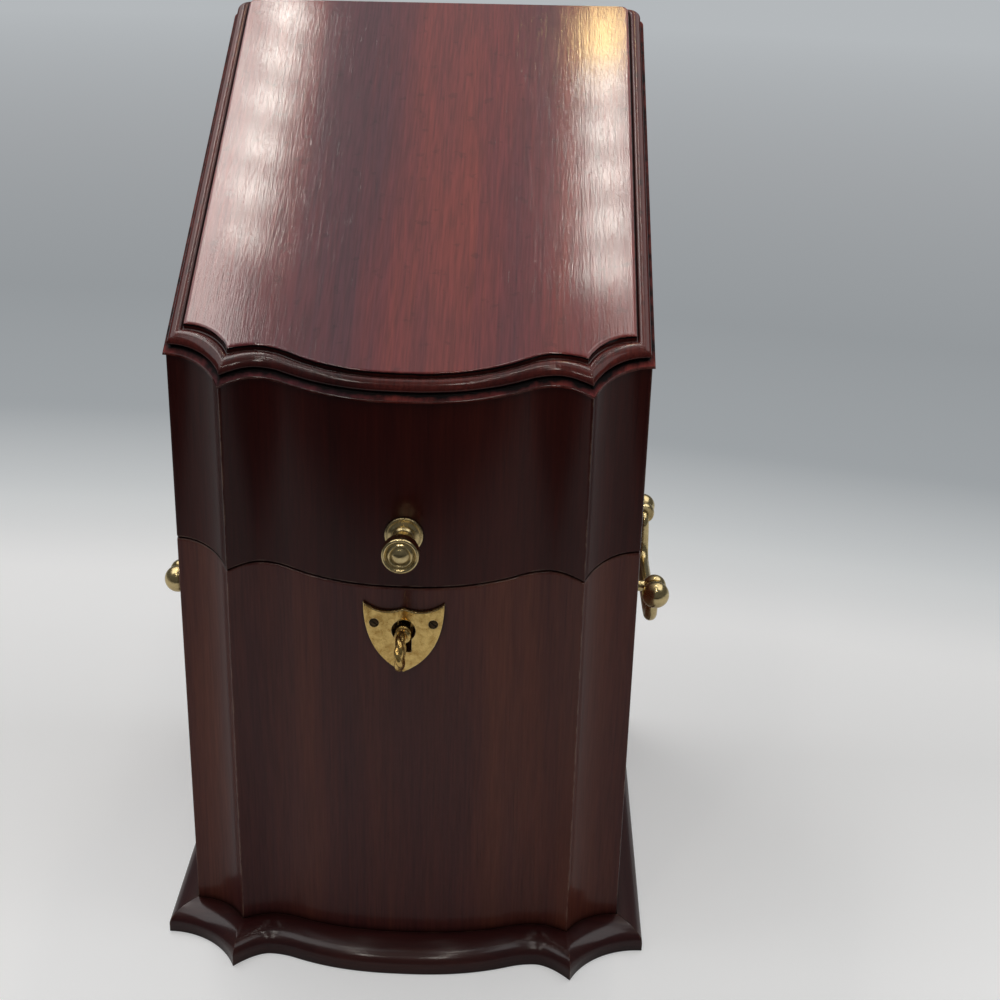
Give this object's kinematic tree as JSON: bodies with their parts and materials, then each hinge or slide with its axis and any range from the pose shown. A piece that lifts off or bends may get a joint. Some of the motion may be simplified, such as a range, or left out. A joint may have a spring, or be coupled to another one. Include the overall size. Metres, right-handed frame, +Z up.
{
  "type": "knife box",
  "caption": "Upright serpentine-front mahogany knife box with a sloping hinged lid, pierced cutlery board, lock with key, lifting knob and side bail handles.",
  "frame": {"origin": "middle of the footprint, on the surface that the box stands on", "axes": "+Z up, -Y towards the serpentine front, +X to the right seen from the front"},
  "size_m": [0.2326, 0.2498, 0.3931],
  "materials": {
    "mahogany": "french polish",
    "inside_wood": "satin",
    "polished_brass": "polished",
    "aged_brass": "aged",
    "dark_steel": "darkened"
  },
  "bodies": {
    "carcase": {"carcase_front": "mahogany", "carcase_back": "mahogany", "carcase_bottom": "mahogany", "base_moulding_front": "mahogany", "cutlery_board": "inside_wood", "lock_case": "aged_brass", "lock_cover": "aged_brass", "shield_escutcheon": "aged_brass", "carcase_side_left": "mahogany", "base_moulding_left": "mahogany", "board_rail_left": "inside_wood", "escutcheon_screw_left": "dark_steel", "hinge_body_leaf_left": "aged_brass", "hinge_pin_left": "aged_brass", "handle_post_left_front": "polished_brass", "handle_nut_left_front": "aged_brass", "handle_post_left_rear": "polished_brass", "handle_nut_left_rear": "aged_brass", "carcase_side_right": "mahogany", "base_moulding_right": "mahogany", "board_rail_right": "inside_wood", "escutcheon_screw_right": "dark_steel", "hinge_body_leaf_right": "aged_brass", "hinge_pin_right": "aged_brass", "handle_post_right_front": "polished_brass", "handle_nut_right_front": "aged_brass", "handle_post_right_rear": "polished_brass", "handle_nut_right_rear": "aged_brass"},
    "lid": {"lid_top_board": "mahogany", "lid_front": "mahogany", "lid_back": "mahogany", "lid_catch_plate": "aged_brass", "knob_rose": "polished_brass", "knob": "polished_brass", "lid_side_left": "mahogany", "hinge_lid_leaf_left": "aged_brass", "lid_side_right": "mahogany", "hinge_lid_leaf_right": "aged_brass"},
    "key": {"key": "aged_brass"},
    "bolt": {"lock_bolt": "dark_steel"},
    "bail_left": {"bail_left": "polished_brass", "bail_ball_left_front": "polished_brass", "bail_ball_left_rear": "polished_brass"},
    "bail_right": {"bail_right": "polished_brass", "bail_ball_right_front": "polished_brass", "bail_ball_right_rear": "polished_brass"}
  },
  "joints": [
    {"name": "lid_hinge", "type": "hinge", "parent": "carcase", "child": "lid", "pos_m": [0, 0.12219, 0.3057], "axis": [-1, 0, 0], "range_deg": [0, 100]},
    {"name": "key_turn", "type": "hinge", "parent": "carcase", "child": "key", "pos_m": [0, -0.07681, 0.167], "axis": [0, -1, 0], "range_deg": [0, 90]},
    {"name": "bolt_slide", "type": "slide", "parent": "carcase", "child": "bolt", "axis": [1, 0, 0], "range_m": [0, 0.006]},
    {"name": "bail_swing_left", "type": "hinge", "parent": "carcase", "child": "bail_left", "pos_m": [-0.1101, 0.02619, 0.151], "axis": [0, 1, 0], "range_deg": [-23, 203]},
    {"name": "bail_swing_right", "type": "hinge", "parent": "carcase", "child": "bail_right", "pos_m": [0.1101, 0.02619, 0.151], "axis": [0, -1, 0], "range_deg": [-23, 203]}
  ],
  "couplings": [
    {"joint": "key_turn", "follows": "bolt_slide", "rad_per_m": 261.8}
  ]
}
